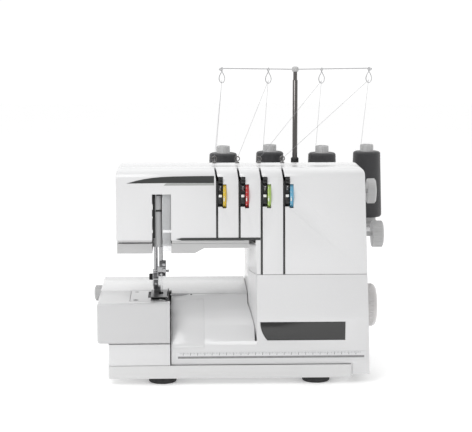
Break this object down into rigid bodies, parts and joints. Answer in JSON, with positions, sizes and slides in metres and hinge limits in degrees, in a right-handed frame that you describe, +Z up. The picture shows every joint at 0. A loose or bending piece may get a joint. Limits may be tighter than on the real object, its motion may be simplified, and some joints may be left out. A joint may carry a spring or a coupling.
{
  "type": "overlock sewing machine",
  "caption": "Free-standing overlock sewing machine with needles, loopers, thread dials, cones and a telescopic thread stand.",
  "frame": {"origin": "on the table under the middle of the machine's outline", "axes": "+X to the operator's right, +Y to the back, +Z up"},
  "size_m": [0.4338, 0.264, 0.4306],
  "materials": {
    "white_plastic": "satin",
    "grey_plastic": "matte",
    "light_plastic": "satin",
    "clear_plastic": "gloss",
    "black_gloss": "gloss",
    "black_plastic": "matte",
    "black_rubber": "matte",
    "bright_steel": "satin",
    "dark_steel": "satin",
    "bright_chrome": "polished",
    "cast_aluminium": "matte",
    "ruler_print": "satin",
    "yellow_plastic": "satin",
    "red_plastic": "satin",
    "green_plastic": "satin",
    "blue_plastic": "satin",
    "black_thread": "matte",
    "grey_thread": "matte"
  },
  "bodies": {
    "machine": {"base_tray": "white_plastic", "rubber_feet": "black_rubber", "lower_housing": "white_plastic", "front_sill": "white_plastic", "bed_cover": "white_plastic", "needle_plate": "bright_steel", "plate_screws": "bright_steel", "machine_frame": "cast_aluminium", "upper_casing_front": "white_plastic", "upper_casing_rear": "white_plastic", "underarm_panel": "grey_plastic", "lamp_lens": "clear_plastic", "arm_trim": "black_gloss", "head_inlay": "black_gloss", "rear_housing": "white_plastic", "tension_units": "dark_steel", "bar_cover": "grey_plastic", "needle_shield": "clear_plastic", "lower_knife": "bright_steel", "motor": "cast_aluminium", "drive_belt": "black_rubber", "power_inlet": "black_plastic", "spool_stand": "white_plastic", "spool_holders": "light_plastic", "stand_tube": "bright_chrome", "top_guides": "bright_chrome"},
    "freearm": {"freearm_cover": "white_plastic"},
    "looper_door": {"looper_cover": "white_plastic", "cover_insert": "black_gloss", "ruler_strip": "ruler_print", "looper_panel": "white_plastic"},
    "needle_carrier": {"needle_bar": "bright_steel", "needles": "bright_chrome"},
    "presser": {"presser_bar": "bright_steel", "presser_foot": "bright_steel"},
    "lifter": {"presser_lifter": "black_plastic"},
    "lower_looper_arm": {"lower_looper": "bright_steel"},
    "upper_looper_arm": {"upper_looper": "bright_steel"},
    "knife": {"upper_knife": "dark_steel"},
    "feed": {"feed_dogs": "dark_steel"},
    "drive": {"main_shaft": "bright_steel", "handwheel": "white_plastic"},
    "motor_rotor": {"motor_shaft": "bright_steel"},
    "width_selector": {"width_dial": "light_plastic"},
    "feed_selector": {"feed_dial": "light_plastic"},
    "cut_selector": {"cut_dial": "grey_plastic"},
    "switch_rocker": {"power_switch": "black_plastic"},
    "pole": {"thread_pole": "bright_chrome", "thread_1": "grey_thread", "thread_2": "grey_thread", "thread_3": "grey_thread", "thread_4": "grey_thread"},
    "dial_1": {"tension_dial_1": "yellow_plastic"},
    "cone_1": {"thread_cone_1": "black_thread"},
    "dial_2": {"tension_dial_2": "red_plastic"},
    "cone_2": {"thread_cone_2": "black_thread"},
    "dial_3": {"tension_dial_3": "green_plastic"},
    "cone_3": {"thread_cone_3": "black_thread"},
    "dial_4": {"tension_dial_4": "blue_plastic"},
    "cone_4": {"thread_cone_4": "black_thread"}
  },
  "joints": [
    {"name": "freearm_slide", "type": "slide", "parent": "machine", "child": "freearm", "axis": [-1, 0, 0], "range_m": [0, 0.06]},
    {"name": "looper_door_hinge", "type": "hinge", "parent": "machine", "child": "looper_door", "pos_m": [0.035, -0.1197, 0.0312], "axis": [1, 0, 0], "range_deg": [0, 55]},
    {"name": "needle_slide", "type": "slide", "parent": "machine", "child": "needle_carrier", "axis": [0, 0, 1], "range_m": [-0.022, 0.005]},
    {"name": "lifter_hinge", "type": "hinge", "parent": "machine", "child": "lifter", "pos_m": [-0.125, -0.008, 0.224], "axis": [1, 0, 0], "range_deg": [0, 25]},
    {"name": "presser_slide", "type": "slide", "parent": "machine", "child": "presser", "axis": [0, 0, 1], "range_m": [0, 0.006]},
    {"name": "lower_looper_hinge", "type": "hinge", "parent": "machine", "child": "lower_looper_arm", "pos_m": [-0.08, -0.0642, 0.058], "axis": [0, 1, 0], "range_deg": [-5, 8]},
    {"name": "upper_looper_hinge", "type": "hinge", "parent": "machine", "child": "upper_looper_arm", "pos_m": [-0.074, -0.0712, 0.08], "axis": [0, 1, 0], "range_deg": [-4, 6]},
    {"name": "knife_slide", "type": "slide", "parent": "machine", "child": "knife", "axis": [0, 0, -1], "range_m": [0, 0.007]},
    {"name": "feed_slide", "type": "slide", "parent": "machine", "child": "feed", "axis": [0, 1, 0], "range_m": [-0.0016, 0.0016]},
    {"name": "handwheel_spin", "type": "hinge", "parent": "machine", "child": "drive", "pos_m": [0, -0.026, 0.091], "axis": [1, 0, 0], "continuous": true},
    {"name": "motor_spin", "type": "hinge", "parent": "machine", "child": "motor_rotor", "pos_m": [0.09, 0.034, 0.062], "axis": [1, 0, 0], "continuous": true},
    {"name": "tension_dial_1_turn", "type": "hinge", "parent": "machine", "child": "dial_1", "pos_m": [-0.0285, -0.09393, 0.261], "axis": [1, 0, 0], "range_deg": [-150, 150]},
    {"name": "tension_dial_2_turn", "type": "hinge", "parent": "machine", "child": "dial_2", "pos_m": [0.0025, -0.09393, 0.261], "axis": [1, 0, 0], "range_deg": [-150, 150]},
    {"name": "tension_dial_3_turn", "type": "hinge", "parent": "machine", "child": "dial_3", "pos_m": [0.033, -0.09393, 0.261], "axis": [1, 0, 0], "range_deg": [-150, 150]},
    {"name": "tension_dial_4_turn", "type": "hinge", "parent": "machine", "child": "dial_4", "pos_m": [0.064, -0.09393, 0.261], "axis": [1, 0, 0], "range_deg": [-150, 150]},
    {"name": "width_dial_turn", "type": "hinge", "parent": "machine", "child": "width_selector", "pos_m": [0.18, -0.038, 0.259], "axis": [1, 0, 0], "range_deg": [-135, 135]},
    {"name": "feed_dial_turn", "type": "hinge", "parent": "machine", "child": "feed_selector", "pos_m": [0.18, -0.038, 0.197], "axis": [1, 0, 0], "range_deg": [-120, 120]},
    {"name": "cut_dial_turn", "type": "hinge", "parent": "machine", "child": "cut_selector", "pos_m": [-0.21, 0.02, 0.102], "axis": [1, 0, 0], "range_deg": [-170, 170]},
    {"name": "switch_rock", "type": "hinge", "parent": "machine", "child": "switch_rocker", "pos_m": [0.16619, 0.0555, 0.048], "axis": [0, 1, 0], "range_deg": [-7, 7]},
    {"name": "pole_slide", "type": "slide", "parent": "machine", "child": "pole", "axis": [0, 0, 1], "range_m": [-0.085, 0], "deforming": ["thread_1", "thread_2", "thread_3", "thread_4"]},
    {"name": "cone_1_lift", "type": "slide", "parent": "machine", "child": "cone_1", "axis": [0, 0, 1], "range_m": [0, 0.08]},
    {"name": "cone_2_lift", "type": "slide", "parent": "machine", "child": "cone_2", "axis": [0, 0, 1], "range_m": [0, 0.08]},
    {"name": "cone_3_lift", "type": "slide", "parent": "machine", "child": "cone_3", "axis": [0, 0, 1], "range_m": [0, 0.08]},
    {"name": "cone_4_lift", "type": "slide", "parent": "machine", "child": "cone_4", "axis": [0, 0, 1], "range_m": [0, 0.08]}
  ],
  "couplings": [
    {"joint": "lifter_hinge", "follows": "presser_slide", "rad_per_m": 72.7},
    {"joint": "motor_spin", "follows": "handwheel_spin", "ratio": 3.4286}
  ]
}
